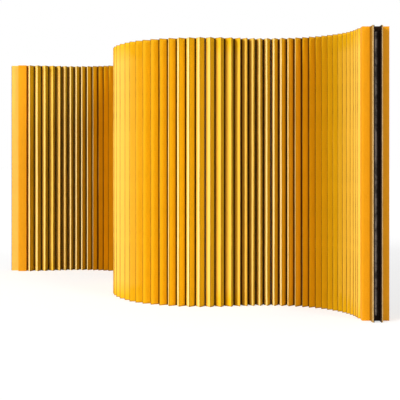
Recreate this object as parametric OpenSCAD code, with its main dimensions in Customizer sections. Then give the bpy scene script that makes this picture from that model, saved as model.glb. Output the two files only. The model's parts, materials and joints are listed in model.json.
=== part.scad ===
// Free-standing room screen of pleated kraft board.
// The wall is a row of folded six-sided tubes, each as tall as the screen. Two
// neighbours are glued along a strip down their waists, so the row can be drawn
// out, curled and straightened. A stiff box with a grip channel closes each end.
// Plan view: the wall is walked from its left end to its right end, the side that
// faces the viewer (-Y at the start) is the right-hand side, and a left turn is positive.

/* [Wall] */
// Height of the screen
screen_h = 1700; // [900:10:2200]
// Thickness of the board that the tubes are folded from
board_t = 1.5; // [0.8:0.1:2.5]
// Width of a leaf, from the waist fold to the ridge fold
leaf_w = 56; // [52:1:70]
// Half the width of a tube's waist, from the middle of the wall to the fold
waist_half = 40; // [34:1:52]
// Half the width of the glued strip between two tubes
glue_half = 12; // [6:1:18]
// How far a waist stands back from the glued strip at its folds
waist_relief = 4; // [3:0.5:7]
// Clear slit at a waist that flexes
flex_gap = 0.3; // [0.2:0.05:0.6]
// Angle by which a waist that flexes can curl past its rest
curl_margin = 4.5; // [1:0.5:6]

/* [Lead-in at the left end] */
// Tubes in the lead-in
lead_tubes = 4; // [2:2:8]
// Pitch of the lead-in's tubes along the middle of the wall
lead_pitch = 56; // [44:0.5:70]
// Turn of the lead-in
lead_turn = 20; // [10:1:30]

/* [Left bay] */
// Tubes in the left bay
left_bay_tubes = 18; // [12:2:20]
// Pitch of the left bay's tubes
left_bay_pitch = 54.1; // [46:0.1:66]
// Turn of the left bay
left_bay_turn = -88.5; // [-104:0.5:-66]

/* [Back run] */
// Tubes in the back run
back_run_tubes = 10; // [6:2:12]
// Pitch of the back run's tubes
back_run_pitch = 72.5; // [60:0.5:80]
// Turn of the back run
back_run_turn = -49; // [-60:1:-38]

/* [Shoulder] */
// Tubes in the shoulder, which the hand has drawn out the most
shoulder_tubes = 10; // [6:2:12]
// Pitch of the shoulder's tubes
shoulder_pitch = 74.5; // [60:0.5:84]
// Turn of the shoulder
shoulder_turn = 60.5; // [46:0.5:70]

/* [Front bend] */
// Tubes in the front bend
front_bend_tubes = 12; // [8:2:14]
// Pitch of the front bend's tubes
front_bend_pitch = 58; // [50:0.5:66]
// Turn of the front bend
front_bend_turn = 75; // [60:1:84]

/* [Front run] */
// Tubes in the front run
front_run_tubes = 4; // [2:2:8]
// Pitch of the front run's tubes
front_run_pitch = 51; // [44:0.5:64]
// Turn of the front run
front_run_turn = -17.5; // [-26:0.5:-8]

/* [Right bay] */
// Tubes in the right bay
right_bay_tubes = 18; // [12:2:20]
// Pitch of the right bay's tubes
right_bay_pitch = 52.8; // [46:0.1:64]
// Turn of the right bay
right_bay_turn = -90.5; // [-104:0.5:-70]

/* [End boxes] */
// Half the width of an end box
box_half = 79; // [64:1:90]
// Depth of an end box along the wall
box_depth = 66; // [45:1:90]
// Thickness of the board that an end box is folded from
box_t = 3; // [2:0.5:5]
// Half the width of the batten behind the front of an end box
batten_half = 30; // [24:1:40]
// Thickness of the batten
batten_t = 18; // [15:1:24]
// How far the batten stops short of the top and bottom
batten_inset = 12; // [6:1:40]

/* [Grip channels] */
// Half the outer width of a channel
channel_half = 23; // [18:0.5:26]
// Depth of a channel
channel_depth = 66; // [46:1:84]
// Thickness of a channel's back strip
back_t = 2.5; // [1.5:0.5:4]
// Thickness of a channel's two side strips
side_t = 2.5; // [1.5:0.5:4]
// Radius of the rounded lip along each side strip
lip_r = 1.9; // [1.6:0.1:3]
// Thickness of a cheek beside a channel
cheek_t = 7.5; // [5:0.5:12]
// How far a cheek stands back from the lips of its channel
cheek_setback = 5; // [4:0.5:12]

/* [Clamp bars] */
// Width of a clamp bar
bar_w = 14; // [12:0.5:20]
// Thickness of a clamp bar
bar_t = 4; // [3:0.5:6]
// How far a clamp bar stops short of the top and bottom
bar_inset = 32; // [20:1:60]
// Screws through a clamp bar
screw_n = 7; // [4:1:9]
// Distance from a bar's end to its first screw
screw_margin = 40; // [20:1:80]
// Diameter of a screw's shank
screw_d = 4; // [3:0.5:5]
// Diameter of a screw's pan head
screw_head_d = 8.5; // [7:0.5:10]
// Height of a screw's pan head
screw_head_h = 2.8; // [2:0.2:4]
// Length of a screw under its head
screw_l = 24; // [18:1:30]
// Clearance of a screw in the pieces that it passes through
screw_clear = 0.25; // [0.2:0.05:0.5]
// Undersize of the pilot hole that a screw bites into
screw_bite = 0.4; // [0.2:0.1:0.8]

/* [Hidden] */
TUBES_PER_NODE = 2;
BAYS = [
    [lead_tubes, lead_pitch, lead_turn],
    [left_bay_tubes, left_bay_pitch, left_bay_turn],
    [back_run_tubes, back_run_pitch, back_run_turn],
    [shoulder_tubes, shoulder_pitch, shoulder_turn],
    [front_bend_tubes, front_bend_pitch, front_bend_turn],
    [front_run_tubes, front_run_pitch, front_run_turn],
    [right_bay_tubes, right_bay_pitch, right_bay_turn],
];

// Pitch and turn of each tube in the row
tubes = [for (bay = BAYS) for (i = [1:bay[0]]) [bay[1], bay[2] / bay[0]]];
tube_n = len(tubes);
pair_n = tube_n / TUBES_PER_NODE;

function dir(a) = [cos(a), sin(a)];
function right_of(a) = [sin(a), -cos(a)];
function chord(pitch, turn) = turn == 0 ? pitch : pitch * sin(turn / 2) * 360 / (PI * turn);

// Heading of the wall at each waist, from the left end to the right end
headings = [
    for (i = 0, h = 0; i <= tube_n; h = h + (i < tube_n ? tubes[i][1] : 0), i = i + 1) h
];

// Middle of each waist, counted from the left end
walk = [
    for (
        i = 0, p = [0, 0];
        i <= tube_n;
        p = p + (i < tube_n
            ? chord(tubes[i][0], tubes[i][1]) * dir(headings[i] + tubes[i][1] / 2)
            : [0, 0]),
        i = i + 1
    ) p
];

// Whether a waist flexes: those between two nodes do, and the two ends don't
function flexes(i) = i > 0 && i < tube_n && i % TUBES_PER_NODE == 0;

// Side of the wall that is convex at a waist, where its living hinge lies:
// 1 is the right-hand side and -1 the left-hand side
function hinge_side(i) = tubes[i - 1][1] + tubes[i][1] > 0 ? 1 : -1;

// How far a tube's waist stands back from the plane of waist i, at a distance v
// to the right of the middle of the wall
function flex_offset(i, v) =
    flex_gap / 2 + tan(curl_margin / 2) * max(0, glue_half - hinge_side(i) * v);
function stand_back(i, v) =
    (abs(v) > glue_half ? waist_relief : 0) + (flexes(i) ? flex_offset(i, v) : 0);
function waist_point(i, v, way) =
    walk[i] + v * right_of(headings[i]) + way * stand_back(i, v) * dir(headings[i]);

// A ridge fold lies one leaf away from both of its waist folds
function ridge(a, b, side) =
    let (
        half = norm(b - a) / 2,
        along = (b - a) / (2 * half),
        out = side * [along[1], -along[0]]
    )
    (a + b) / 2 + sqrt(leaf_w * leaf_w - half * half) * out;

// Outline of tube i, anticlockwise seen from above: up its right side, back down its left
function tube_outline(i) =
    let (
        start = [for (v = [-waist_half, -glue_half, glue_half, waist_half]) waist_point(i, v, 1)],
        end = [for (v = [waist_half, glue_half, -glue_half, -waist_half]) waist_point(i + 1, v, -1)]
    )
    concat(start, [ridge(start[3], end[0], 1)], end, [ridge(start[0], end[3], -1)]);

// A convex outline moved in by t, each side on its own normal
function inset_outline(pts, t) =
    let (n = len(pts))
    [
        for (i = [0:n - 1])
            let (
                p = pts[i],
                u = unit(p - pts[(i + n - 1) % n]),
                w = unit(pts[(i + 1) % n] - p),
                bisector = unit(left_of(u) + left_of(w))
            )
            p + bisector * t / (bisector * left_of(u))
    ];
function unit(v) = v / norm(v);
function left_of(v) = [-v[1], v[0]];

// Place of the two end boxes and the way that they face
END_LEFT = [walk[0], headings[0] + 180];
END_RIGHT = [walk[tube_n], headings[tube_n]];
channel_front = box_depth + channel_depth;
cheek_front = channel_front - cheek_setback;
function end_corners(end) = [
    for (u = [0, box_depth], v = [-box_half, box_half])
        end[0] + u * dir(end[1]) + v * right_of(end[1]),
    for (v = [-channel_half, channel_half])
        end[0] + channel_front * dir(end[1]) + v * right_of(end[1])
];

// The origin is under the middle of the space that the screen fills
outer_points = concat(
    [for (i = [0:tube_n - 1]) for (p = tube_outline(i)) p],
    end_corners(END_LEFT),
    end_corners(END_RIGHT)
);
xs = [for (p = outer_points) p[0]];
ys = [for (p = outer_points) p[1]];
middle = [(min(xs) + max(xs)) / 2, (min(ys) + max(ys)) / 2];

screw_spacing = (screen_h - 2 * (bar_inset + screw_margin)) / (screw_n - 1);
screw_heights = [for (i = [0:screw_n - 1]) bar_inset + screw_margin + i * screw_spacing];
bar_back = box_depth + back_t;
bar_front = bar_back + bar_t;

KRAFT = "#f2a916";
KRAFT_END = "#ffbe45";
RAW_EDGE = "#c9a06a";
PINE = "#d9b37c";
DARK_METAL = "#2b1d14";
BRIGHT_METAL = "#9b958d";
$fn = 32;

function two_digits(i) = str(i < 10 ? "0" : "", i);
PAIR_NODES = [for (i = [1:pair_n]) str("tube_pair_", two_digits(i))];
END_PIECES = [
    "end_box", "batten",
    "channel_back", "near_channel_side", "far_channel_side",
    "near_cheek", "far_cheek",
    "clamp_bar", "clamp_screws",
];
END_NODES = [for (side = ["left_", "right_"]) for (piece = END_PIECES) str(side, piece)];

// Two tubes that share the waist between them, where the glue makes them one
module tube_pair(k) {
    first = (k - 1) * TUBES_PER_NODE;
    color(KRAFT)
        linear_extrude(screen_h)
            for (i = [first:first + TUBES_PER_NODE - 1])
                difference() {
                    polygon(tube_outline(i));
                    polygon(inset_outline(tube_outline(i), board_t));
                }
}

// Everything at an end is drawn looking out along +X from the waist of the last tube
module at_end(end) {
    translate([end[0][0], end[0][1], 0])
        rotate(end[1])
            children();
}

module screw_holes(d) {
    for (z = screw_heights)
        translate([box_depth - box_t - batten_t - 1, 0, z])
            rotate([0, 90, 0])
                cylinder(h = batten_t + box_t + back_t + bar_t + 2, d = d);
}

module end_box() {
    color(KRAFT_END)
        difference() {
            translate([0, -box_half, 0])
                cube([box_depth, 2 * box_half, screen_h]);
            translate([box_t, box_t - box_half, -1])
                cube([box_depth - 2 * box_t, 2 * (box_half - box_t), screen_h + 2]);
            screw_holes(screw_d + 2 * screw_clear);
        }
}

module batten() {
    color(PINE)
        difference() {
            translate([box_depth - box_t - batten_t, -batten_half, batten_inset])
                cube([batten_t, 2 * batten_half, screen_h - 2 * batten_inset]);
            screw_holes(screw_d - screw_bite);
        }
}

// The flat strip that closes a channel at its back, clamped to the box
module channel_back() {
    color(DARK_METAL)
        difference() {
            translate([box_depth, -channel_half, 0])
                cube([back_t, 2 * channel_half, screen_h]);
            screw_holes(screw_d + 2 * screw_clear);
        }
}

// A strip along one side of a channel, from its back strip to a rounded lip
module channel_side(side) {
    color(DARK_METAL)
        linear_extrude(screen_h) {
            translate([bar_back, side > 0 ? channel_half - side_t : -channel_half])
                square([channel_front - lip_r - bar_back, side_t]);
            translate([channel_front - lip_r, side * (channel_half - lip_r)])
                circle(lip_r);
        }
}

module cheek(side) {
    color(RAW_EDGE)
        translate([box_depth, side > 0 ? channel_half : -channel_half - cheek_t, 0])
            cube([cheek_front - box_depth, cheek_t, screen_h]);
}

module clamp_bar() {
    color(BRIGHT_METAL)
        difference() {
            translate([bar_back, -bar_w / 2, bar_inset])
                cube([bar_t, bar_w, screen_h - 2 * bar_inset]);
            screw_holes(screw_d + 2 * screw_clear);
        }
}

// A pan-head screw with a pointed end, lying along -X from the back of its head
module clamp_screw() {
    tip = screw_d;
    rotate([0, 90, 0]) {
        translate([0, 0, -screw_l])
            cylinder(h = tip, d1 = 0.6, d2 = screw_d);
        translate([0, 0, tip - screw_l])
            cylinder(h = screw_l - tip, d = screw_d);
        cylinder(h = screw_head_h / 2, d = screw_head_d);
        translate([0, 0, screw_head_h / 2])
            cylinder(h = screw_head_h / 2, d1 = screw_head_d, d2 = 0.6 * screw_head_d);
    }
}

module clamp_screws() {
    color(BRIGHT_METAL)
        for (z = screw_heights)
            translate([bar_front, 0, z])
                clamp_screw();
}

// One piece of an end; "near" is the side of it that faces the viewer at rest
module end_piece(name, end, near_side) {
    at_end(end) {
        if (name == "end_box") end_box();
        if (name == "batten") batten();
        if (name == "channel_back") channel_back();
        if (name == "near_channel_side") channel_side(near_side);
        if (name == "far_channel_side") channel_side(-near_side);
        if (name == "near_cheek") cheek(near_side);
        if (name == "far_cheek") cheek(-near_side);
        if (name == "clamp_bar") clamp_bar();
        if (name == "clamp_screws") clamp_screws();
    }
}

translate([-middle[0], -middle[1], 0]) {
    for (k = [1:pair_n])
        tube_pair(k);
    for (name = END_PIECES) {
        end_piece(name, END_LEFT, 1);
        end_piece(name, END_RIGHT, -1);
    }
}
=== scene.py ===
"""Looks of a free-standing room screen of pleated kraft board.

The wall is a row of folded six-sided tubes, as tall as the screen and glued to each other
down their waists. A stiff box with a grip channel closes each end. Lengths are in metres.
In plan the wall is walked from its left end to its right end, and the side that faces the
viewer is its right-hand side.
"""

import json
import math

import bmesh
import bpy
from bpy.props import (
    CollectionProperty,
    FloatProperty,
    FloatVectorProperty,
    IntProperty,
    PointerProperty,
)
from bpy.types import Operator, Panel, PropertyGroup
from mathutils import Matrix, Vector, noise


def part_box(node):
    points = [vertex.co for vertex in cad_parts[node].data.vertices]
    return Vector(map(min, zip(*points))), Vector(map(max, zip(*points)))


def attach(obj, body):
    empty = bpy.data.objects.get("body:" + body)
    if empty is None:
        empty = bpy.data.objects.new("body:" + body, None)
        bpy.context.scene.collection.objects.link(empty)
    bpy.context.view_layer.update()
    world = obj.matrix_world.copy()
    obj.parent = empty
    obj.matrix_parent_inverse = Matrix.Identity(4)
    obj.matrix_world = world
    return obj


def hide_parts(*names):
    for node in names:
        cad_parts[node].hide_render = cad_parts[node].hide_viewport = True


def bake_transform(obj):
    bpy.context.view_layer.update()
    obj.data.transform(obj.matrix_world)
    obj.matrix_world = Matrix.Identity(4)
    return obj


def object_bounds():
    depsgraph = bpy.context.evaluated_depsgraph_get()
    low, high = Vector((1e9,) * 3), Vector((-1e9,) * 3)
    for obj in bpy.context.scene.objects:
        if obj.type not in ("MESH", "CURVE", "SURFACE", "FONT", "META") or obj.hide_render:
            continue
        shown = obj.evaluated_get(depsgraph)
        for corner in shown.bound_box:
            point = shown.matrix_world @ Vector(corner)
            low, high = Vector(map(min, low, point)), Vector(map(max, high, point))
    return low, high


bl_info = {
    "name": "Pleated Room Screen",
    "version": (1, 0, 0),
    "blender": (4, 5, 0),
    "location": "3D View > Sidebar > Screen",
    "description": "Folded tubes, end boxes and grip channels of a pleated room screen",
    "category": "Add Mesh",
}

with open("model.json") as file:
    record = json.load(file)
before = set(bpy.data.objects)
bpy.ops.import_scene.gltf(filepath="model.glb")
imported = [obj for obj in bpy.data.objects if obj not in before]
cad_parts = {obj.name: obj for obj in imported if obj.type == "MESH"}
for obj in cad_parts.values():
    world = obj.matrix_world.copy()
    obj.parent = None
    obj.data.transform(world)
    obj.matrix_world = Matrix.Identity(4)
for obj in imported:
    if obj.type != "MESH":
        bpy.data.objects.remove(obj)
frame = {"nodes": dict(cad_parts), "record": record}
CAD_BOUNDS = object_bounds()
SCREEN_HEIGHT = CAD_BOUNDS[1].z

# The ends, and the heading along which each looks away from the wall
SIDES = {"left": math.pi, "right": -math.pi / 2}

# Bays of the wall from its left end: name, tubes, pitch of a tube, turn of the bay in degrees
BAYS = (
    ("lead-in", 4, 0.056, 20.0),
    ("left bay", 18, 0.0541, -88.5),
    ("back run", 10, 0.0725, -49.0),
    ("shoulder", 10, 0.0745, 60.5),
    ("front bend", 12, 0.058, 75.0),
    ("front run", 4, 0.051, -17.5),
    ("right bay", 18, 0.0528, -90.5),
)


# ------ sizes and colours


def length(name, default, description):
    """A setting that is a length, in metres."""
    return FloatProperty(name=name, description=description, default=default, unit="LENGTH")


def angle(name, default, description):
    """A setting that is an angle, in radians here and in degrees in the panel."""
    return FloatProperty(name=name, description=description, default=default, subtype="ANGLE")


def colour(name, default, description):
    """A setting that is an opaque colour, given as red, green and blue."""
    return FloatVectorProperty(
        name=name, description=description, default=(*default, 1.0), size=4,
        subtype="COLOR", min=0, max=1,
    )


class SCREEN_PG_bay(PropertyGroup):
    """One bay of the wall"""

    tubes: IntProperty(name="Tubes", description="Tubes in the bay", default=10, min=2)
    pitch: length("Pitch", 0.055, "Length of a tube along the middle of the wall")
    turn: angle("Turn", 0.0, "Turn of the bay, positive to the left")


class SCREEN_PG_wall(PropertyGroup):
    """Sizes of the folded tubes"""

    bays: CollectionProperty(type=SCREEN_PG_bay, name="Bays", description="Bays from the left")
    board: length("Board", 0.0015, "Thickness of the board that the tubes are folded from")
    leaf: length("Leaf", 0.056, "Width of a leaf, from the waist fold to the ridge fold")
    waist_half: length("Half waist", 0.040, "From the middle of the wall to a waist fold")
    glue_half: length("Half glued strip", 0.012, "Half the width of the strip between two tubes")
    relief: length("Relief", 0.004, "How far a waist's folds stand back from the glued strip")
    glue: length("Glue", 0.0002, "Thickness of the glue between two tubes")
    ridge_round: length("Ridge rounding", 0.0010, "Width that a ridge's rounding takes of a leaf")
    fold_round: length("Fold rounding", 0.0010, "Width that a waist fold's rounding takes")
    bow: length("Bow", 0.0010, "How far a leaf bows out or in between its folds")
    waver: length("Waver", 0.0011, "How far a ridge wanders along its height")
    trim: length("Trim", 0.0012, "Difference in height between tubes")
    levels: IntProperty(name="Levels", description="Levels of a tube's mesh", default=14, min=2)


class SCREEN_PG_ends(PropertyGroup):
    """Sizes of the pieces at an end"""

    corner: length("Box corner", 0.0022, "Rounding of an end box's corners")
    box_board: length("Box board", 0.003, "Thickness of the board of an end box")
    facing: length("Facing", 0.0006, "Thickness of the paper on the outer side of a cheek")
    cheek_edge: length("Cheek edge", 0.0003, "Rounding of a cheek's edges")
    # Reach of the painted shade out of the corners between cheek and box
    dust: length("Dust", 0.010, "How far dust reaches out of the corner between cheek and box")
    lip: length("Lip", 0.0019, "Radius of a channel's lip")
    strip: length("Side strip", 0.0025, "Thickness of a channel's side strip")
    bar_edge: length("Bar edge", 0.0005, "Rounding of a clamp bar's edges")
    head: length("Screw head", 0.0085, "Diameter of a clamp screw's head")
    head_height: length("Head height", 0.0028, "Height of a clamp screw's head")
    screws: IntProperty(name="Screws", description="Screws through a bar", default=7, min=2)
    screw_margin: length("Screw margin", 0.040, "From a bar's end to its first screw")


class SCREEN_PG_finish(PropertyGroup):
    """Colours of the screen"""

    paper: colour("Paper", (0.80, 0.42, 0.003), "Dyed kraft paper")
    paper_deep: colour("Deep paper", (0.70, 0.37, 0.002), "Darker clouds in the paper")
    fibre: colour("Fibre", (0.90, 0.60, 0.10), "Pale fibres in the paper")
    crease: FloatProperty(
        name="Crease", description="How dark the creased ridges are", default=0.85, min=0, max=1
    )
    # Painted shade: the dark colour painted down the slits, towards the valleys and in the
    # corners beside the cheeks, also used for the dark creases and edges
    slit: colour("Slit", (0.15, 0.048, 0.001), "Dusty board down in the slits between tubes")
    wrap: colour("Wrap", (0.70, 0.28, 0.002), "Paper that wraps the end boxes")
    facing: colour("Facing", (0.86, 0.45, 0.07), "Paler paper on the left end's cheeks")
    # Painted shade: the right end's cheeks are painted dark brown
    shaded_facing: colour("Brown facing", (0.26, 0.12, 0.004), "Paper on the right end's cheeks")
    # Painted light and shade: faces towards the window are painted paler, faces turned away from
    # it olive brown
    faded: colour("Faded", (1.0, 0.60, 0.14), "Paper faded by the light of a window")
    unfaded: colour("Unfaded", (0.33, 0.225, 0.002), "Paper always turned away from the window")
    window: angle("Window", math.radians(-116), "Its heading, anticlockwise from +X")
    # Painted sheen: the pale colour that paper looked at along its face is painted towards
    bloom: colour("Bloom", (1.0, 0.9, 0.46), "Pale sheen of the paper looked at along its face")
    raw_edge: colour("Raw edge", (0.64, 0.42, 0.165), "Cut edge of the board")
    raw_dark: colour("Raw edge, dark", (0.42, 0.25, 0.085), "Dark plies of the cut edge")
    pine: colour("Pine", (0.62, 0.39, 0.17), "Sawn battens")
    lacquer: colour("Lacquer", (0.013, 0.0045, 0.002), "Dark lacquer of the channels")
    steel: colour("Steel", (0.24, 0.20, 0.175), "Satin bars and screws")


class SCREEN_PG_stage(PropertyGroup):
    """Camera and light"""

    camera_place: FloatVectorProperty(
        name="Camera", description="Place of the camera", size=3, subtype="TRANSLATION",
        default=(0.1946, -7.1297, 0.9519),
    )
    camera_turn: angle("Camera turn", -0.0052, "Turn of the camera from +Y, positive to the left")
    focal: FloatProperty(name="Focal length", description="In millimetres", default=90.3)
    rise: FloatProperty(
        name="Horizon rise",
        description="How far the horizon lies above the middle of the picture, as a share of it",
        default=0.1103,
    )
    key: FloatProperty(name="Key", description="Strength of the left lamp", default=3.6)
    key_spread: angle("Key spread", 0.5, "Softness of that lamp")
    key_bearing: angle("Key bearing", math.radians(-140), "Its heading, anticlockwise from +X")
    key_height: angle("Key height", math.radians(18), "Height of that lamp")
    front: FloatProperty(name="Front", description="Strength of the right lamp", default=1.15)
    front_spread: angle("Front spread", 0.4, "Softness of that lamp")
    front_bearing: angle("Front bearing", math.radians(-52), "Its heading, anticlockwise from +X")
    front_height: angle("Front height", math.radians(18), "Height of that lamp")
    fill: FloatProperty(name="Fill", description="Strength of the room's light", default=0.46)
    floor: colour("Floor", (0.86, 0.86, 0.85), "Colour of the floor")


# ------ plan of the wall


# How far the last waist may lie from the right end box
FIT_TOLERANCE = 0.001


def heading_vector(heading):
    """Unit vector along a heading."""
    return Vector((math.cos(heading), math.sin(heading)))


def right_of(heading):
    """Unit vector to the right of a heading."""
    return Vector((math.sin(heading), -math.cos(heading)))


def chord(pitch, turn):
    """Straight length between the ends of an arc."""
    return pitch if turn == 0 else pitch * math.sin(turn / 2) / (turn / 2)


def end_seat(side):
    """Where the wall meets an end box."""
    low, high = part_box(f"{side}_end_box")
    if side == "left":
        return Vector((high.x, (low.y + high.y) / 2))
    return Vector(((low.x + high.x) / 2, high.y))


def waists(wall):
    """Middle and heading of every waist, from the left end to the right end."""
    place = end_seat("left")
    heading = 0.0
    found = [(place, heading)]
    for bay in wall.bays:
        turn = bay.turn / bay.tubes
        for _ in range(bay.tubes):
            place = place + chord(bay.pitch, turn) * heading_vector(heading + turn / 2)
            heading += turn
            found.append((place, heading))
    gap = (place - end_seat("right")).length
    if gap > FIT_TOLERANCE:
        raise RuntimeError(f"the wall ends {gap} m away from the right end box")
    return found


def waist_corners(waist, way, wall):
    """Four corners of a tube's waist, left to right, on the side of the waist that way names."""
    place, heading = waist
    corners = []
    for across in (-wall.waist_half, -wall.glue_half, wall.glue_half, wall.waist_half):
        back = wall.glue / 2 + (wall.relief if abs(across) > wall.glue_half else 0)
        corners.append(place + across * right_of(heading) + way * back * heading_vector(heading))
    return corners


def ridge(a, b, side, leaf):
    """The ridge fold, one leaf away from two waist folds."""
    half = (b - a).length / 2
    along = (b - a).normalized()
    return (a + b) / 2 + math.sqrt(leaf * leaf - half * half) * side * Vector((along.y, -along.x))


def tube_outline(start, end, wall):
    """Outline of a tube between two waists, anticlockwise seen from above."""
    near = waist_corners(start, 1, wall)
    far = waist_corners(end, -1, wall)[::-1]
    right = ridge(near[3], far[0], 1, wall.leaf)
    left = ridge(near[0], far[3], -1, wall.leaf)
    return near + [right] + far + [left]


# Places in a tube's outline of its ridges, of its waists' folds, and of its leaves' two folds
RIGHT_RIDGE, LEFT_RIDGE = RIDGES = (4, 9)
WAIST_FOLDS = (0, 3, 5, 8)
LEAVES = ((3, RIGHT_RIDGE), (RIGHT_RIDGE, 5), (8, LEFT_RIDGE), (LEFT_RIDGE, 0))


# ------ mesh helpers


# Least upward share of a normal that looks up, and greatest rise of a level edge
LEVEL_NORMAL = 0.9
LEVEL_RISE = 1e-6
# How near an edge stands to its fold, and how near a cut takes a vertex for its own
FOLD_REACH = 0.0004
CUT_SNAP = 1e-7
# Angle from which an edge is shaded sharp
SHARP_EDGE = math.radians(40)


def held(value):
    """A value held between 0 and 1."""
    return min(1.0, max(0.0, value))


def extruded(outline, height):
    """Raises a closed outline of the plan into a prism."""
    bm = bmesh.new()
    base = bm.faces.new([bm.verts.new((p.x, p.y, 0)) for p in outline])
    raised = bmesh.ops.extrude_face_region(bm, geom=[base])["geom"]
    top = [item for item in raised if isinstance(item, bmesh.types.BMVert)]
    bmesh.ops.translate(bm, verts=top, vec=(0, 0, height))
    bm.normal_update()
    return bm


def block(low, high):
    """A box between two corners."""
    bm = bmesh.new()
    bmesh.ops.create_cube(bm, size=1.0)
    bmesh.ops.scale(bm, vec=high - low, verts=bm.verts)
    bmesh.ops.translate(bm, vec=(low + high) / 2, verts=bm.verts)
    bm.normal_update()
    return bm


def open_ends(bm):
    """Takes away the faces that look straight up and down."""
    caps = [f for f in bm.faces if abs(f.normal.z) > LEVEL_NORMAL]
    bmesh.ops.delete(bm, geom=caps, context="FACES_ONLY")


def rise(edge):
    """Difference in height between an edge's ends."""
    return abs(edge.verts[0].co.z - edge.verts[1].co.z)


def upright_edges(bm, point):
    """Upright edges that stand on a point of the plan."""
    return [e for e in bm.edges if all((v.co.xy - point).length < FOLD_REACH for v in e.verts)]


def round_edges(bm, edges, size, segments):
    """Rounds edges over."""
    bmesh.ops.bevel(
        bm, geom=edges, offset=size, offset_type="OFFSET", segments=segments,
        profile=0.5, affect="EDGES", material=-1, clamp_overlap=True,
    )


def cut(bm, point, normal):
    """Cuts a mesh along a plane and keeps both sides."""
    everything = bm.verts[:] + bm.edges[:] + bm.faces[:]
    bmesh.ops.bisect_plane(bm, geom=everything, dist=CUT_SNAP, plane_co=point, plane_no=normal)


def cut_levels(bm, low, high, levels):
    """Cuts a mesh across at even heights."""
    for i in range(1, levels):
        cut(bm, (0, 0, low + (high - low) * i / levels), (0, 0, 1))


def mark(bm, name, measure):
    """Writes a measure of every vertex into an attribute that a material reads."""
    layer = bm.verts.layers.float.new(name)
    for vert in bm.verts:
        vert[layer] = measure(vert)


def mesh_of(bm, name):
    """Turns a bmesh into a mesh."""
    mesh = bpy.data.meshes.new(name)
    bm.to_mesh(mesh)
    bm.free()
    return mesh


def joined(parts):
    """One bmesh of several."""
    whole = bmesh.new()
    for part in parts:
        mesh = mesh_of(part, "part")
        whole.from_mesh(mesh)
        bpy.data.meshes.remove(mesh)
    return whole


def new_piece(name, bm, materials):
    """Shows a bmesh as a piece, shaded soft between its sharp edges."""
    for face in bm.faces:
        face.smooth = True
    mesh = mesh_of(bm, name)
    for look in materials:
        mesh.materials.append(look)
    mesh.set_sharp_from_angle(angle=SHARP_EDGE)
    piece = bpy.data.objects.new(name, mesh)
    bpy.context.scene.collection.objects.link(piece)
    return piece


# Materials of a board's faces, in the order of its piece's slots
OUTSIDE, CUT_EDGE, INSIDE = range(3)


def mark_board(bm, middle):
    """Sorts a closed board's faces into outer paper, cut edge and inside."""
    for face in bm.faces:
        outward = face.normal.xy.dot(face.calc_center_median().xy - middle)
        if abs(face.normal.z) > LEVEL_NORMAL:
            face.material_index = CUT_EDGE
        else:
            face.material_index = INSIDE if outward < 0 else OUTSIDE


# ------ folded tubes


# How fast the board's small faults change with the tube, its part and the height
LONG_SWELL = (3.1, 7.7, 1.9)
SHORT_SWELL = (5.3, 2.9, 6.0)
RIDGE_OUTWARDS = (9.7, 1.3, 2.2)
RIDGE_SIDEWAYS = (6.1, 4.9, 2.2)
TRIMMING = (4.7, 0.5, 0.5)

# Strength of the short swell beside the long one, and of a ridge's waver outwards
SHORT_SHARE = 0.5
OUTWARD_SHARE = 0.5
# Share of a leaf beside each fold that doesn't bow, and how far a point may lie off its leaf
STIFF_SHARE = 0.06
LEAF_REACH = 1e-5
# Segments of a rounded fold, cuts along a leaf, and how wide an edge is that gets them
FOLD_SEGMENTS = 3
LEAF_CUTS = 4
LEAF_SHARE = 0.6


def drift(scales, number, part, height):
    """A smooth random value between -1 and 1."""
    x, y, z = scales
    return noise.noise(Vector((number * x, part * y, height * z)))


def ridge_span(outline):
    """Middle between a tube's ridges, the way to the right one, and half their distance."""
    span = outline[RIGHT_RIDGE] - outline[LEFT_RIDGE]
    return (outline[RIGHT_RIDGE] + outline[LEFT_RIDGE]) / 2, span.normalized(), span.length / 2


def bow_leaves(bm, outline, number, wall):
    """Bows each leaf a little between its folds, as board does."""
    for leaf, (first, second) in enumerate(LEAVES):
        a, b = outline[first], outline[second]
        along = b - a
        outward = Vector((along.y, -along.x)).normalized()
        for vert in bm.verts:
            offset = vert.co.xy - a
            share = offset.dot(along) / along.length_squared
            bends = STIFF_SHARE < share < 1 - STIFF_SHARE
            if abs(offset.dot(outward)) > LEAF_REACH or not bends:
                continue
            swell = drift(LONG_SWELL, number, leaf, vert.co.z)
            swell += SHORT_SHARE * drift(SHORT_SWELL, number, leaf, vert.co.z)
            vert.co.xy += outward * wall.bow * swell * math.sin(math.pi * share)


def waver_ridges(bm, outline, number, wall):
    """Lets the ridges wander a little along their height, and the leaves with them."""
    middle, across, half = ridge_span(outline)
    along = Vector((-across.y, across.x))
    for vert in bm.verts:
        reach = (vert.co.xy - middle).dot(across)
        share = (abs(reach) - wall.waist_half) / (half - wall.waist_half)
        if share <= 0:
            continue
        side = 1 if reach > 0 else -1
        out = OUTWARD_SHARE * side * drift(RIDGE_OUTWARDS, number, side, vert.co.z)
        sideways = drift(RIDGE_SIDEWAYS, number, side, vert.co.z)
        vert.co.xy += wall.waver * share * (out * across + sideways * along)


def mark_depth(bm, outline, wall):
    """Writes how deep a point lies between two ridges, from 0 at a ridge to 1 at the glue."""
    middle, across, half = ridge_span(outline)
    reach = half - wall.glue_half
    mark(bm, "deep", lambda v: held((half - abs((v.co.xy - middle).dot(across))) / reach))


def mark_light_facing(bm):
    """Writes how squarely a point faces the window of the painted light and shade, from -1 to 1.
    """
    window = heading_vector(bpy.context.scene.screen_finish.window)
    mark(bm, "light_facing", lambda v: v.normal.xy.dot(window))


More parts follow.
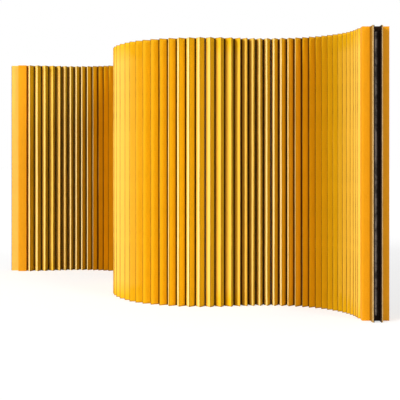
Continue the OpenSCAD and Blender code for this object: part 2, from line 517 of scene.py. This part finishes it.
def unroll(bm, outline):
    """Lays the outline's length along U and the height along V, in metres."""
    layer = bm.loops.layers.uv.new("Unrolled")
    sides = []
    whole = 0.0
    for a, b in zip(outline, outline[1:] + outline[:1]):
        sides.append((a, b - a, whole))
        whole += (b - a).length

    def along(point):
        """Length along the outline at its place nearest to a point."""
        places = []
        for a, edge, before in sides:
            share = held((point - a).dot(edge) / edge.length_squared)
            gap = (a + edge * share - point).length_squared
            places.append((gap, before + share * edge.length))
        return min(places)[1]

    lengths = {vert: along(vert.co.xy) for vert in bm.verts}
    for face in bm.faces:
        centre = along(face.calc_center_median().xy)
        for loop in face.loops:
            u = lengths[loop.vert]
            if u - centre > whole / 2:
                u -= whole
            elif centre - u > whole / 2:
                u += whole
            loop[layer].uv = (u, loop.vert.co.z)


def folded_tube(row, number, wall):
    """One folded tube of the row of waists, with its board's real thickness."""
    outline = tube_outline(row[number], row[number + 1], wall)
    height = SCREEN_HEIGHT - wall.trim / 2 + wall.trim * drift(TRIMMING, number, 1, 1) / 2
    bm = extruded(outline, height)
    open_ends(bm)
    for folds, size in ((RIDGES, wall.ridge_round), (WAIST_FOLDS, wall.fold_round)):
        for i in folds:
            round_edges(bm, upright_edges(bm, outline[i]), size, FOLD_SEGMENTS)
    width = LEAF_SHARE * wall.leaf
    wide = [e for e in bm.edges if rise(e) < LEVEL_RISE and e.calc_length() > width]
    bmesh.ops.subdivide_edges(bm, edges=wide, cuts=LEAF_CUTS, use_grid_fill=True)
    cut_levels(bm, 0, height, wall.levels)
    bow_leaves(bm, outline, number, wall)
    waver_ridges(bm, outline, number, wall)
    mark_depth(bm, outline, wall)
    unroll(bm, outline)
    bmesh.ops.solidify(bm, geom=bm.faces[:], thickness=wall.board)
    bm.normal_update()
    mark_light_facing(bm)
    mark_board(bm, sum(outline, Vector((0, 0))) / len(outline))
    return bm


def body_of_node(node):
    """Name of the CAD body that a node belongs to."""
    for body, members in frame["record"]["behaviour"]["bodies"].items():
        if node in members:
            return body
    raise RuntimeError(f"no body holds {node}")


class SCREEN_OT_folded_tubes(Operator):
    """Make the row of folded tubes, two to a piece"""

    bl_idname = "screen.folded_tubes"
    bl_label = "Folded Tubes"

    def execute(self, context):
        wall = context.scene.screen_wall
        row = waists(wall)
        tubes = len(row) - 1
        pairs = tubes // 2
        board = [material(kraft_paper), material(cut_board), material(kraft_inside)]
        for pair in range(pairs + 1):
            numbers = [i for i in (2 * pair - 1, 2 * pair) if 0 <= i < tubes]
            folded = joined([folded_tube(row, i, wall) for i in numbers])
            piece = new_piece(f"folded_tubes_{pair:02d}", folded, board)
            nodes = [f"tube_pair_{k:02d}" for k in (pair, pair + 1) if 1 <= k <= pairs]
            bodies = [body_of_node(node) for node in nodes]
            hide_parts(*nodes)
            if len(set(bodies)) == 1:
                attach(piece, bodies[0])
                continue
            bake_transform(piece)
        return {"FINISHED"}


# ------ ends


# Segments of a box's corners, levels of its mesh, and its cuts as shares of the reach of the
# painted corner shade
CORNER_SEGMENTS = 4
BOX_LEVELS = 8
SHADE_CUTS = (0.0, 0.4, 1.0)
# How far behind a box's front a point still counts as on it
FRONT_REACH = 1e-4
# Segments of a board's or bar's rounded edge, and of a channel's lip
EDGE_SEGMENTS = 2
LIP_STEPS = 10
# Slot of a cheek's raw board, after its paper
CORE = 1
# Outline of a screw's head, as shares of its height and radius, its segments and its socket
HEAD_OUTLINE = ((0.0, 1.0), (0.35, 1.0), (0.7, 0.86), (0.92, 0.66), (1.0, 0.48))
HEAD_STEPS = 24
SOCKET_RADIUS = 0.34
SOCKET_DEPTH = 0.6
# Angle by which each screw stands turned past the one below, in radians
SCREW_TURN = 0.7


def end_place(side):
    """Turns and moves an end's own frame, +X outwards from the last waist, to its place."""
    seat = end_seat(side).to_3d()
    return Matrix.Translation(seat) @ Matrix.Rotation(SIDES[side], 4, "Z")


def local_box(side, node):
    """Lowest and highest corner of a CAD node in its end's own frame."""
    back = end_place(side).inverted()
    a, b = (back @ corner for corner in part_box(f"{side}_{node}"))
    low = Vector(min(p, q) for p, q in zip(a, b))
    high = Vector(max(p, q) for p, q in zip(a, b))
    return low, high


def set_end_piece(side, node, bm, materials):
    """Puts an end's piece in its place, in the stead of its CAD node."""
    bmesh.ops.transform(bm, matrix=end_place(side), verts=bm.verts)
    bm.normal_update()
    piece = new_piece(f"{side}_{node}_dressed", bm, materials)
    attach(piece, body_of_node(f"{side}_{node}"))
    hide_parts(f"{side}_{node}")


def plain_node(side, node, look):
    """Gives a CAD node that keeps its own shape a better material."""
    slots = frame["nodes"][f"{side}_{node}"].material_slots
    if not slots:
        raise RuntimeError(f"{side}_{node} has no material slot")
    for slot in slots:
        slot.material = look


def end_box(low, high, cheek_side, ends):
    """A box of board, open at its top and foot, with painted shade marked beside its cheeks."""
    bm = block(low, high)
    open_ends(bm)
    round_edges(bm, [e for e in bm.edges if rise(e) > LEVEL_RISE], ends.corner, CORNER_SEGMENTS)
    for share in SHADE_CUTS:
        for way in (-1, 1):
            cut(bm, (0, way * (cheek_side + share * ends.dust), 0), (0, 1, 0))
    cut_levels(bm, low.z, high.z, BOX_LEVELS)
    front = high.x - FRONT_REACH

    def dustiness(vert):
        """Painted shade on a vertex beside the cheeks, which only the front has."""
        painted_shade = held(1 - (abs(vert.co.y) - cheek_side) / ends.dust)
        return painted_shade if vert.co.x > front else 0.0

    mark(bm, "corner", dustiness)
    bmesh.ops.solidify(bm, geom=bm.faces[:], thickness=ends.box_board)
    bm.normal_update()
    mark_board(bm, ((low + high) / 2).xy)
    return bm


class SCREEN_OT_end_boxes(Operator):
    """Make the stiff box of wrapped board at each end"""

    bl_idname = "screen.end_boxes"
    bl_label = "End Boxes"

    def execute(self, context):
        board = [material(kraft_wrap), material(cut_board), material(kraft_inside)]
        for side in SIDES:
            low, high = local_box(side, "end_box")
            cheek_side = max(abs(corner.y) for corner in local_box(side, "near_cheek"))
            bm = end_box(low, high, cheek_side, context.scene.screen_ends)
            set_end_piece(side, "end_box", bm, board)
        return {"FINISHED"}


def cheek(low, high, ends):
    """A board with a skin of paper on its outer side, the one away from the channel."""
    core_low, core_high = low.copy(), high.copy()
    skin_low, skin_high = low.copy(), high.copy()
    if low.y + high.y > 0:
        core_high.y -= ends.facing
        skin_low.y = core_high.y
    else:
        core_low.y += ends.facing
        skin_high.y = core_low.y
    core = block(core_low, core_high)
    round_edges(core, core.edges[:], ends.cheek_edge, EDGE_SEGMENTS)
    for face in core.faces:
        face.material_index = CORE
    skin = block(skin_low, skin_high)
    cut(skin, (low.x + ends.dust, 0, 0), (1, 0, 0))
    # Painted shade on the cheek's paper near its root, beside the box
    mark(skin, "corner", lambda v: held(1 - (v.co.x - low.x) / ends.dust))
    return joined([core, skin])


class SCREEN_OT_cheeks(Operator):
    """Make the boards beside each channel, with raw edges and a paper-faced outer side"""

    bl_idname = "screen.cheeks"
    bl_label = "Cheeks"

    def execute(self, context):
        # The right end's cheeks get paper painted dark as shade
        facings = {"left": pale_facing, "right": shaded_facing}
        for side in SIDES:
            board = [material(facings[side]), material(laminated_board)]
            for node in ("near_cheek", "far_cheek"):
                bm = cheek(*local_box(side, node), context.scene.screen_ends)
                set_end_piece(side, node, bm, board)
        return {"FINISHED"}


def channel_side(low, high, ends):
    """An upright strip beside a channel's groove, with a rolled lip along its outer edge."""
    face_y = max(abs(low.y), abs(high.y))
    inner_y = face_y - ends.strip
    bead = Vector((high.x - ends.lip, face_y - ends.lip))
    meet = math.asin((bead.y - inner_y) / ends.lip)
    sweep = 1.5 * math.pi - meet
    outline = [Vector((low.x, face_y)), Vector((low.x, inner_y))]
    for i in range(LIP_STEPS + 1):
        outline.append(bead + ends.lip * heading_vector(math.pi + meet + sweep * i / LIP_STEPS))
    if low.y + high.y < 0:
        outline = [Vector((p.x, -p.y)) for p in reversed(outline)]
    return extruded(outline, high.z - low.z)


class SCREEN_OT_channels(Operator):
    """Make the dark strips of each grip channel, with a rolled lip along each side"""

    bl_idname = "screen.channels"
    bl_label = "Grip Channels"

    def execute(self, context):
        for side in SIDES:
            for node in ("near_channel_side", "far_channel_side"):
                bm = channel_side(*local_box(side, node), context.scene.screen_ends)
                set_end_piece(side, node, bm, [material(dark_lacquer)])
            plain_node(side, "channel_back", material(dark_lacquer))
        return {"FINISHED"}


class SCREEN_OT_battens(Operator):
    """Finish the battens inside the end boxes"""

    bl_idname = "screen.battens"
    bl_label = "Battens"

    def execute(self, context):
        for side in SIDES:
            plain_node(side, "batten", material(sawn_pine))
        return {"FINISHED"}


class SCREEN_OT_clamp_bars(Operator):
    """Make the satin bar on the floor of each channel"""

    bl_idname = "screen.clamp_bars"
    bl_label = "Clamp Bars"

    def execute(self, context):
        for side in SIDES:
            bm = block(*local_box(side, "clamp_bar"))
            round_edges(bm, bm.edges[:], context.scene.screen_ends.bar_edge, EDGE_SEGMENTS)
            set_end_piece(side, "clamp_bar", bm, [material(satin_steel)])
        return {"FINISHED"}


def screw_head(radius, height):
    """A domed head with a six-sided socket, looking out along +X."""
    bm = bmesh.new()
    verts = [bm.verts.new((x * height, r * radius, 0)) for x, r in HEAD_OUTLINE]
    edges = [bm.edges.new(pair) for pair in zip(verts, verts[1:])]
    bmesh.ops.spin(
        bm, geom=verts + edges, cent=(0, 0, 0), axis=(1, 0, 0), angle=2 * math.pi,
        steps=HEAD_STEPS, use_merge=True,
    )
    socket = bmesh.ops.create_circle(
        bm, cap_ends=False, radius=SOCKET_RADIUS * radius, segments=6,
        matrix=Matrix.Translation((height, 0, 0)) @ Matrix.Rotation(math.pi / 2, 4, "Y"),
    )["verts"]
    rim = [e for e in bm.edges if e.is_boundary and e.verts[0].co.x > height / 2]
    ring = list({e for v in socket for e in v.link_edges})
    bmesh.ops.bridge_loops(bm, edges=rim + ring)
    wall = bmesh.ops.extrude_edge_only(bm, edges=ring)["geom"]
    deep = [item for item in wall if isinstance(item, bmesh.types.BMVert)]
    bmesh.ops.translate(bm, verts=deep, vec=(-SOCKET_DEPTH * height, 0, 0))
    bottom = [
        item for item in wall
        if isinstance(item, bmesh.types.BMEdge) and all(v in deep for v in item.verts)
    ]
    bmesh.ops.contextual_create(bm, geom=bottom)
    bmesh.ops.contextual_create(bm, geom=[e for e in bm.edges if e.is_boundary])
    bmesh.ops.recalc_face_normals(bm, faces=bm.faces[:])
    return bm


class SCREEN_OT_clamp_screws(Operator):
    """Make the heads of the clamp screws"""

    bl_idname = "screen.clamp_screws"
    bl_label = "Clamp Screws"

    def execute(self, context):
        ends = context.scene.screen_ends
        for side in SIDES:
            bar_low, bar_high = local_box(side, "clamp_bar")
            first = bar_low.z + ends.screw_margin
            last = bar_high.z - ends.screw_margin
            heads = []
            for i in range(ends.screws):
                height = first + (last - first) * i / (ends.screws - 1)
                turned = Matrix.Rotation(SCREW_TURN * i, 4, "X")
                place = Matrix.Translation((bar_high.x, 0, height)) @ turned
                head = screw_head(ends.head / 2, ends.head_height)
                bmesh.ops.transform(head, matrix=place, verts=head.verts)
                heads.append(head)
            steel = [material(satin_steel)]
            set_end_piece(side, "clamp_screws", joined(heads), steel)
        return {"FINISHED"}


# ------ materials


WHITE = (1, 1, 1, 1)
# Depth of a material's relief where its height goes from 0 to 1
RELIEF_DEPTH = 0.0003


class Graph:
    """Writes nodes and links into a material or a node group."""

    def __init__(self, tree):
        self.tree = tree

    def put(self, socket, value):
        """Sets a socket to a plain value, or links another node's output to it."""
        if isinstance(value, bpy.types.NodeSocket):
            self.tree.links.new(value, socket)
        else:
            socket.default_value = value

    def add(self, kind, sockets=None, **settings):
        """A new node, with values or other nodes' outputs on its named or counted sockets."""
        node = self.tree.nodes.new(kind)
        for name, value in settings.items():
            setattr(node, name, value)
        for name, value in (sockets or {}).items():
            self.put(node.inputs[name], value)
        return node

    def noise(self, vector, scale, detail=3.0, roughness=0.55, stretch=None):
        """Fractal noise from 0 to 1, drawn out along the axes whose stretch is under 1."""
        if stretch:
            sockets = {"Vector": vector, "Scale": stretch}
            vector = self.add("ShaderNodeMapping", sockets).outputs["Vector"]
        sockets = {"Vector": vector, "Scale": scale, "Detail": detail, "Roughness": roughness}
        return self.add("ShaderNodeTexNoise", sockets).outputs["Fac"]

    def attribute(self, name):
        """A measure that the mesh carries."""
        return self.add("ShaderNodeAttribute", attribute_name=name).outputs["Fac"]

    def ramp(self, value, source, target=(0.0, 1.0)):
        """A value carried from a source range to a target range, held at its ends."""
        names = ("From Min", "From Max", "To Min", "To Max")
        sockets = {"Value": value, **dict(zip(names, (*source, *target)))}
        return self.add("ShaderNodeMapRange", sockets).outputs["Result"]

    def math(self, operation, a, b):
        """Two values put together."""
        return self.add("ShaderNodeMath", {0: a, 1: b}, operation=operation).outputs[0]

    def times(self, a, b):
        """Two values multiplied."""
        return self.math("MULTIPLY", a, b)

    def layered(self, a, b, share):
        """Two heights added, the first with a share and the second with the rest."""
        return self.math("ADD", self.times(a, share), self.times(b, 1 - share))

    def mix(self, share, a, b):
        """Two colours mixed by the share of the second."""
        return self.add("ShaderNodeMix", {0: share, 6: a, 7: b}, data_type="RGBA").outputs[2]

    def place(self):
        """Place in the frame."""
        return self.add("ShaderNodeTexCoord").outputs["Object"]

    def flat_place(self):
        """Distance along a box's sides and height, for paper that wraps it."""
        parts = self.add("ShaderNodeSeparateXYZ", {"Vector": self.place()}).outputs
        along = self.math("ADD", parts["X"], parts["Y"])
        return self.add("ShaderNodeCombineXYZ", {"X": along, "Y": parts["Z"]}).outputs[0]

    def watched(self):
        """1 for what the camera sees directly, in gloss or through glass, and 0 for light."""
        paths = self.add("ShaderNodeLightPath").outputs
        seen = self.math("MAXIMUM", paths["Is Camera Ray"], paths["Is Glossy Ray"])
        return self.math("MAXIMUM", seen, paths["Is Transmission Ray"])


def shaded(color, factor):
    """A colour made darker or paler."""
    return [min(1.0, factor * c) for c in color[:3]] + [1.0]


def title(fill):
    """The name of what a function fills in."""
    return fill.__name__.replace("_", " ").title()


def node_group(fill, inputs, outputs):
    """The node group that a function fills in, made only once."""
    name = title(fill)
    tree = bpy.data.node_groups.get(name)
    if tree is None:
        tree = bpy.data.node_groups.new(name, "ShaderNodeTree")
        for way, sockets in (("INPUT", inputs), ("OUTPUT", outputs)):
            for label, kind in sockets.items():
                tree.interface.new_socket(name=label, in_out=way, socket_type=f"NodeSocket{kind}")
        graph = Graph(tree)
        graph.add("NodeGroupOutput", fill(graph, graph.add("NodeGroupInput").outputs))
    return tree


def paper_formation(graph, given):
    """Group: clouds, streaks and fibres of dyed kraft paper, over lengths in metres."""
    vector = given["Vector"]
    cloud = graph.noise(vector, 26.0, stretch=(1.0, 0.35, 1.0))
    streak = graph.noise(vector, 330.0, 4.0, 0.6, stretch=(1.0, 0.05, 1.0))
    tooth = graph.noise(vector, 1500.0, 3.0, 0.6)
    hair = graph.noise(vector, 1100.0, 2.0, 0.5, stretch=(1.0, 0.12, 1.0))
    shade = graph.times(graph.ramp(cloud, (0.3, 0.7)), graph.ramp(streak, (0.3, 0.7)))
    clouds = graph.ramp(shade, (0.05, 0.75), (0.0, 0.75))
    pale_flecks = graph.ramp(hair, (0.62, 0.74), (0.0, 0.45))
    dark_flecks = graph.ramp(hair, (0.36, 0.26), (0.0, 0.35))
    color = graph.mix(clouds, given["Paper"], given["Deep"])
    color = graph.mix(pale_flecks, color, given["Fibre"])
    color = graph.mix(dark_flecks, color, given["Deep"])
    roughness = graph.ramp(streak, (0.25, 0.75), (0.44, 0.58))
    return {
        "Color": color, "Roughness": roughness, "Height": graph.layered(streak, tooth, 0.6)
    }


def fold_shading_and_marks(graph, given):
    """Group: painted light and shade on the faces, dark creases, painted shade down the slits and
    towards the valleys, and darker upper and lower edges.
    """
    deep = graph.attribute("deep")
    light_facing = graph.attribute("light_facing")
    height = graph.add("ShaderNodeSeparateXYZ", {"Vector": given["Vector"]}).outputs["Y"]
    broken = graph.noise(given["Vector"], 90.0, 4.0, 0.6, stretch=(1.0, 0.06, 1.0))
    crease = graph.ramp(deep, (0.036, 0.074), (1.0, 0.0))
    crease = graph.times(crease, graph.ramp(broken, (0.35, 0.6), (0.6, 1.0)))
    crease = graph.times(crease, given["Crease"])
    # Painted light on faces towards the window, painted shade on faces turned away from it
    brightening = graph.ramp(light_facing, (0.74, 1.0), (0.0, 0.4))
    turned_away = graph.ramp(light_facing, (-0.2, 0.32), (0.88, 0.0))
    # Painted shade, deepening towards the valleys and down the slits
    painted_shade = graph.ramp(deep, (0.2, 0.54), (0.0, 0.08))
    slit = graph.ramp(deep, (0.58, 0.66))
    # Darker towards the foot and the top
    foot = graph.ramp(height, (0.0, 0.008), (1.0, 0.0))
    below_top = graph.math("SUBTRACT", given["Top"], height)
    crown = graph.ramp(below_top, (0.0, 0.007), (1.0, 0.0))
    darker_edges = graph.times(graph.math("MAXIMUM", foot, crown), 0.8)
    color = graph.mix(brightening, given["Color"], given["Faded"])
    color = graph.mix(turned_away, color, given["Unfaded"])
    for share in (crease, painted_shade, slit, darker_edges):
        color = graph.mix(share, color, given["Dust"])
    # Painted sheen only on faces towards the window, outside the valleys and creases
    sheen_share = graph.math("SUBTRACT", graph.ramp(deep, (0.25, 0.56), (1.0, 0.0)), crease)
    sheen_share = graph.times(sheen_share, graph.ramp(light_facing, (0.15, 0.6)))
    return {"Color": color, "Clean": sheen_share}


def material(fill):
    """The material that a function fills in, made only once."""
    found = bpy.data.materials.get(title(fill))
    if found is None:
        found = bpy.data.materials.new(title(fill))
        found.use_nodes = True
        shader = found.node_tree.nodes["Principled BSDF"]
        fill(Graph(found.node_tree), shader, bpy.context.scene.screen_finish)
    return found


def feed(graph, shader, color, roughness, height, strength):
    """Joins colour, roughness and height to a surface shader."""
    sockets = {"Height": height, "Strength": strength, "Distance": RELIEF_DEPTH}
    graph.put(shader.inputs["Base Color"], color)
    graph.put(shader.inputs["Roughness"], roughness)
    graph.put(shader.inputs["Normal"], graph.add("ShaderNodeBump", sockets).outputs["Normal"])


def paper_sheet(graph, vector, paper, deep, fibre):
    """The paper's formation in a material's own colours."""
    formation = node_group(
        paper_formation,
        {"Vector": "Vector", "Paper": "Color", "Deep": "Color", "Fibre": "Color"},
        {"Color": "Color", "Roughness": "Float", "Height": "Float"},
    )
    sockets = {"Vector": vector, "Paper": paper, "Deep": deep, "Fibre": fibre}
    return graph.add("ShaderNodeGroup", sockets, node_tree=formation).outputs


def paper_gloss(shader):
    """The faint gloss of kraft paper."""
    shader.inputs["Specular IOR Level"].default_value = 0.1
    shader.inputs["Sheen Weight"].default_value = 0.06
    shader.inputs["Sheen Roughness"].default_value = 0.4
    shader.inputs["Sheen Tint"].default_value = (1.0, 0.92, 0.72, 1.0)


def bloom(graph, color, pale, sheen_share):
    """A painted sheen: the paper is painted paler where it is looked at along its face, as far as
    the sheen share allows.
    """
    facing = graph.add("ShaderNodeLayerWeight", {"Blend": 0.5}).outputs["Facing"]
    share = graph.times(graph.ramp(facing, (0.36, 0.8), (0.0, 0.8)), sheen_share)
    return graph.mix(share, color, pale)


def kraft_paper(graph, shader, finish):
    """Dyed kraft paper of the folded tubes, with dark creases, painted shade down its slits, and
    painted light, shade and sheen on its faces.
    """
    unrolled = graph.add("ShaderNodeUVMap", uv_map="Unrolled").outputs["UV"]
    sheet = paper_sheet(graph, unrolled, finish.paper, finish.paper_deep, finish.fibre)
    wear = node_group(
        fold_shading_and_marks,
        {
            "Vector": "Vector", "Color": "Color", "Faded": "Color", "Unfaded": "Color",
            "Dust": "Color", "Crease": "Float", "Top": "Float",
        },
        {"Color": "Color", "Clean": "Float"},
    )
    sockets = {
        "Vector": unrolled, "Color": sheet["Color"], "Faded": finish.faded,
        "Unfaded": finish.unfaded, "Dust": finish.slit, "Crease": finish.crease,
        "Top": SCREEN_HEIGHT,
    }
    folds = graph.add("ShaderNodeGroup", sockets, node_tree=wear).outputs
    color = bloom(graph, folds["Color"], finish.bloom, folds["Clean"])
    feed(graph, shader, color, sheet["Roughness"], sheet["Height"], 0.25)
    paper_gloss(shader)


def wrapping_paper(graph, shader, color, finish):
    """Paper glued on board, with painted shade in the corners."""
    sheet = paper_sheet(graph, graph.flat_place(), color, shaded(color, 0.86), finish.fibre)
    # Painted shade beside the cheeks
    painted_shade = graph.ramp(graph.attribute("corner"), (0.2, 1.0), (0.0, 0.9))
    shaded_corners = graph.mix(painted_shade, sheet["Color"], finish.slit)
    feed(graph, shader, shaded_corners, sheet["Roughness"], sheet["Height"], 0.2)
    paper_gloss(shader)


def kraft_wrap(graph, shader, finish):
    """The paper that wraps the end boxes."""
    wrapping_paper(graph, shader, finish.wrap, finish)


def pale_facing(graph, shader, finish):
    """The paper on the left end's cheeks, paler than the wall."""
    wrapping_paper(graph, shader, finish.facing, finish)


def shaded_facing(graph, shader, finish):
    """The right end's cheek paper, painted dark brown as shade."""
    wrapping_paper(graph, shader, finish.shaded_facing, finish)


def kraft_inside(graph, shader, finish):
    """Inner side of the board, browner and rougher."""
    paper, deep = shaded(finish.paper, 0.8), shaded(finish.paper_deep, 0.7)
    sheet = paper_sheet(graph, graph.flat_place(), paper, deep, finish.raw_edge)
    feed(graph, shader, sheet["Color"], sheet["Roughness"], sheet["Height"], 0.3)


def cut_board(graph, shader, finish):
    """Cut edge of the board: fine tan fibres."""
    where = graph.place()
    fibre = graph.noise(where, 2600.0, 4.0, 0.7)
    patch = graph.noise(where, 120.0)
    color = graph.mix(graph.ramp(fibre, (0.35, 0.65)), finish.raw_dark, finish.raw_edge)
    color = graph.mix(graph.ramp(patch, (0.4, 0.7), (0.0, 0.4)), color, finish.fibre)
    feed(graph, shader, color, graph.ramp(fibre, (0.2, 0.8), (0.75, 0.92)), fibre, 0.5)


def laminated_board(graph, shader, finish):
    """Raw edge of a cheek: pale and dark plies along its length."""
    where = graph.place()
    plies = graph.noise(where, 1100.0, 2.0, 0.5, stretch=(1.0, 1.0, 0.02))
    fibre = graph.noise(where, 1900.0, 4.0, 0.7, stretch=(1.0, 1.0, 0.2))
    color = graph.mix(graph.ramp(plies, (0.38, 0.62)), finish.raw_dark, finish.raw_edge)
    color = graph.mix(graph.ramp(fibre, (0.5, 0.8), (0.0, 0.5)), color, finish.fibre)
    roughness = graph.ramp(fibre, (0.2, 0.8), (0.7, 0.9))
    feed(graph, shader, color, roughness, graph.layered(plies, fibre, 0.7), 0.5)


def sawn_pine(graph, shader, finish):
    """Sawn softwood of the battens."""
    where = graph.place()
    rings = graph.noise(where, 140.0, stretch=(1.0, 1.0, 0.03))
    saw = graph.noise(where, 700.0, 3.0, 0.6, stretch=(0.15, 0.15, 1.0))
    dark = shaded(finish.pine, 0.55)
    color = graph.mix(graph.ramp(rings, (0.42, 0.62)), finish.pine, dark)
    roughness = graph.ramp(saw, (0.2, 0.8), (0.65, 0.85))
    feed(graph, shader, color, roughness, graph.layered(rings, saw, 0.4), 0.4)


def dark_lacquer(graph, shader, finish):
    """Dark satin lacquer of the channels, with faint brush marks."""
    where = graph.place()
    marks = graph.noise(where, 800.0, 3.0, 0.6, stretch=(1.0, 1.0, 0.04))
    # Random dust on the lacquer
    dust = graph.ramp(graph.noise(where, 60.0, 5.0, 0.65), (0.45, 0.75), (0.0, 0.6))
    color = graph.mix(dust, finish.lacquer, shaded(finish.lacquer, 3.0))
    feed(graph, shader, color, graph.ramp(marks, (0.2, 0.8), (0.5, 0.66)), marks, 0.12)
    shader.inputs["Specular IOR Level"].default_value = 0.15


def satin_steel(graph, shader, finish):
    """Satin metal of the bars and screws, brushed along the height."""
    where = graph.place()
    brush = graph.noise(where, 1800.0, 3.0, 0.6, stretch=(1.0, 1.0, 0.02))
    stain = graph.ramp(graph.noise(where, 11.0, 5.0, 0.7), (0.44, 0.56))
    color = graph.mix(stain, finish.steel, shaded(finish.steel, 0.3))
    feed(graph, shader, color, graph.ramp(brush, (0.2, 0.8), (0.34, 0.5)), brush, 0.15)
    shader.inputs["Metallic"].default_value = 1.0


# ------ stage


# Half the floor's width, the lamps' distance and the camera's farthest sight
FLOOR_HALF = 60.0
LAMP_DISTANCE = 6
FARTHEST_SIGHT = 200.0
# Width of the camera's sensor in millimetres
SENSOR_WIDTH = 36.0
# Grey and glow of the floor as the camera sees it, which give white with a soft shadow
FLOOR_SEEN = (0.45, 0.45, 0.45, 1.0)
FLOOR_GLOW = 0.62


def new_graph(owner):
    """An empty graph for a material or a world."""
    owner.use_nodes = True
    owner.node_tree.nodes.clear()
    return Graph(owner.node_tree)


def pale_floor(stage):
    """Floor: pale under the lamps, white to the camera, with the object's soft shadow."""
    floor = bpy.data.materials.new("Pale Floor")
    graph = new_graph(floor)
    matt = graph.add("ShaderNodeBsdfDiffuse", {"Color": stage.floor}).outputs[0]
    seen = graph.add("ShaderNodeBsdfDiffuse", {"Color": FLOOR_SEEN}).outputs[0]
    glow = graph.add("ShaderNodeEmission", {"Color": WHITE, "Strength": FLOOR_GLOW}).outputs[0]
    lifted = graph.add("ShaderNodeAddShader", {0: seen, 1: glow}).outputs[0]
    shown = graph.add("ShaderNodeMixShader", {0: graph.watched(), 1: matt, 2: lifted})
    graph.add("ShaderNodeOutputMaterial", {"Surface": shown.outputs[0]})
    return floor


def light_room(scene, stage):
    """World: an even pale room, white to the camera and to gloss."""
    scene.world = bpy.data.worlds.new("Pale Room")
    graph = new_graph(scene.world)
    strength = graph.ramp(graph.watched(), (0.0, 1.0), (stage.fill, 1.0))
    backdrop = graph.add("ShaderNodeBackground", {"Color": WHITE, "Strength": strength})
    graph.add("ShaderNodeOutputWorld", {"Surface": backdrop.outputs[0]})


def soft_lamp(scene, name, strength, bearing, height, spread):
    """A wide, distant lamp."""
    lamp = bpy.data.lights.new(name, "SUN")
    lamp.energy = strength
    lamp.angle = spread
    lit = bpy.data.objects.new(name, lamp)
    level = heading_vector(bearing) * math.cos(height)
    towards = Vector((level.x, level.y, math.sin(height)))
    lit.rotation_mode = "QUATERNION"
    lit.rotation_quaternion = towards.to_track_quat("Z", "Y")
    lit.location = LAMP_DISTANCE * towards
    scene.collection.objects.link(lit)


def stand_camera(scene, stage):
    """A level camera whose picture is shifted, so that upright edges stay upright."""
    lens = bpy.data.cameras.new("camera")
    lens.lens = stage.focal
    lens.sensor_width = SENSOR_WIDTH
    lens.shift_y = -stage.rise
    lens.clip_end = FARTHEST_SIGHT
    camera = bpy.data.objects.new("camera", lens)
    camera.location = stage.camera_place
    camera.rotation_euler = (math.pi / 2, 0, stage.camera_turn)
    scene.collection.objects.link(camera)
    scene.camera = camera


class SCREEN_OT_stage(Operator):
    """Make the floor, the room, the two lamps and the camera"""

    bl_idname = "screen.stage"
    bl_label = "Stage"

    def execute(self, context):
        scene = context.scene
        stage = scene.screen_stage
        scene.view_settings.view_transform = "Standard"
        bm = bmesh.new()
        bmesh.ops.create_grid(bm, x_segments=1, y_segments=1, size=FLOOR_HALF)
        new_piece("floor", bm, [pale_floor(stage)])
        light_room(scene, stage)
        soft_lamp(scene, "key", stage.key, stage.key_bearing, stage.key_height, stage.key_spread)
        soft_lamp(
            scene, "front", stage.front, stage.front_bearing, stage.front_height,
            stage.front_spread,
        )
        stand_camera(scene, stage)
        return {"FINISHED"}


# ------ panel and registration


STEPS = (
    SCREEN_OT_stage,
    SCREEN_OT_folded_tubes,
    SCREEN_OT_end_boxes,
    SCREEN_OT_battens,
    SCREEN_OT_channels,
    SCREEN_OT_cheeks,
    SCREEN_OT_clamp_bars,
    SCREEN_OT_clamp_screws,
)
SETTINGS = {
    "screen_wall": SCREEN_PG_wall,
    "screen_ends": SCREEN_PG_ends,
    "screen_finish": SCREEN_PG_finish,
    "screen_stage": SCREEN_PG_stage,
}


class SCREEN_PT_panel(Panel):
    """Lists the steps and the sizes"""

    bl_idname = "SCREEN_PT_panel"
    bl_label = "Room Screen"
    bl_space_type = "VIEW_3D"
    bl_region_type = "UI"
    bl_category = "Screen"

    def draw(self, context):
        layout = self.layout
        for step in STEPS:
            layout.operator(step.bl_idname)
        for name in SETTINGS:
            group = getattr(context.scene, name)
            box = layout.box()
            for key in group.__annotations__:
                if key != "bays":
                    box.prop(group, key)


CLASSES = (SCREEN_PG_bay, *SETTINGS.values(), *STEPS, SCREEN_PT_panel)


def register():
    """Registers the classes and hangs the settings on the scene."""
    for item in CLASSES:
        bpy.utils.register_class(item)
    for name, group in SETTINGS.items():
        setattr(bpy.types.Scene, name, PointerProperty(type=group))


def unregister():
    """Takes the settings and classes away again."""
    for name in SETTINGS:
        delattr(bpy.types.Scene, name)
    for item in reversed(CLASSES):
        bpy.utils.unregister_class(item)


def fill_bays(wall):
    """Writes the bays into the wall's settings."""
    wall.bays.clear()
    for name, tubes, pitch, turn in BAYS:
        bay = wall.bays.add()
        bay.name = name
        bay.tubes = tubes
        bay.pitch = pitch
        bay.turn = math.radians(turn)


def main():
    """Builds everything."""
    register()
    fill_bays(bpy.context.scene.screen_wall)
    for step in STEPS:
        getattr(bpy.ops.screen, step.bl_idname.partition(".")[2])()
    bpy.context.view_layer.update()


if __name__ == "__main__":
    main()
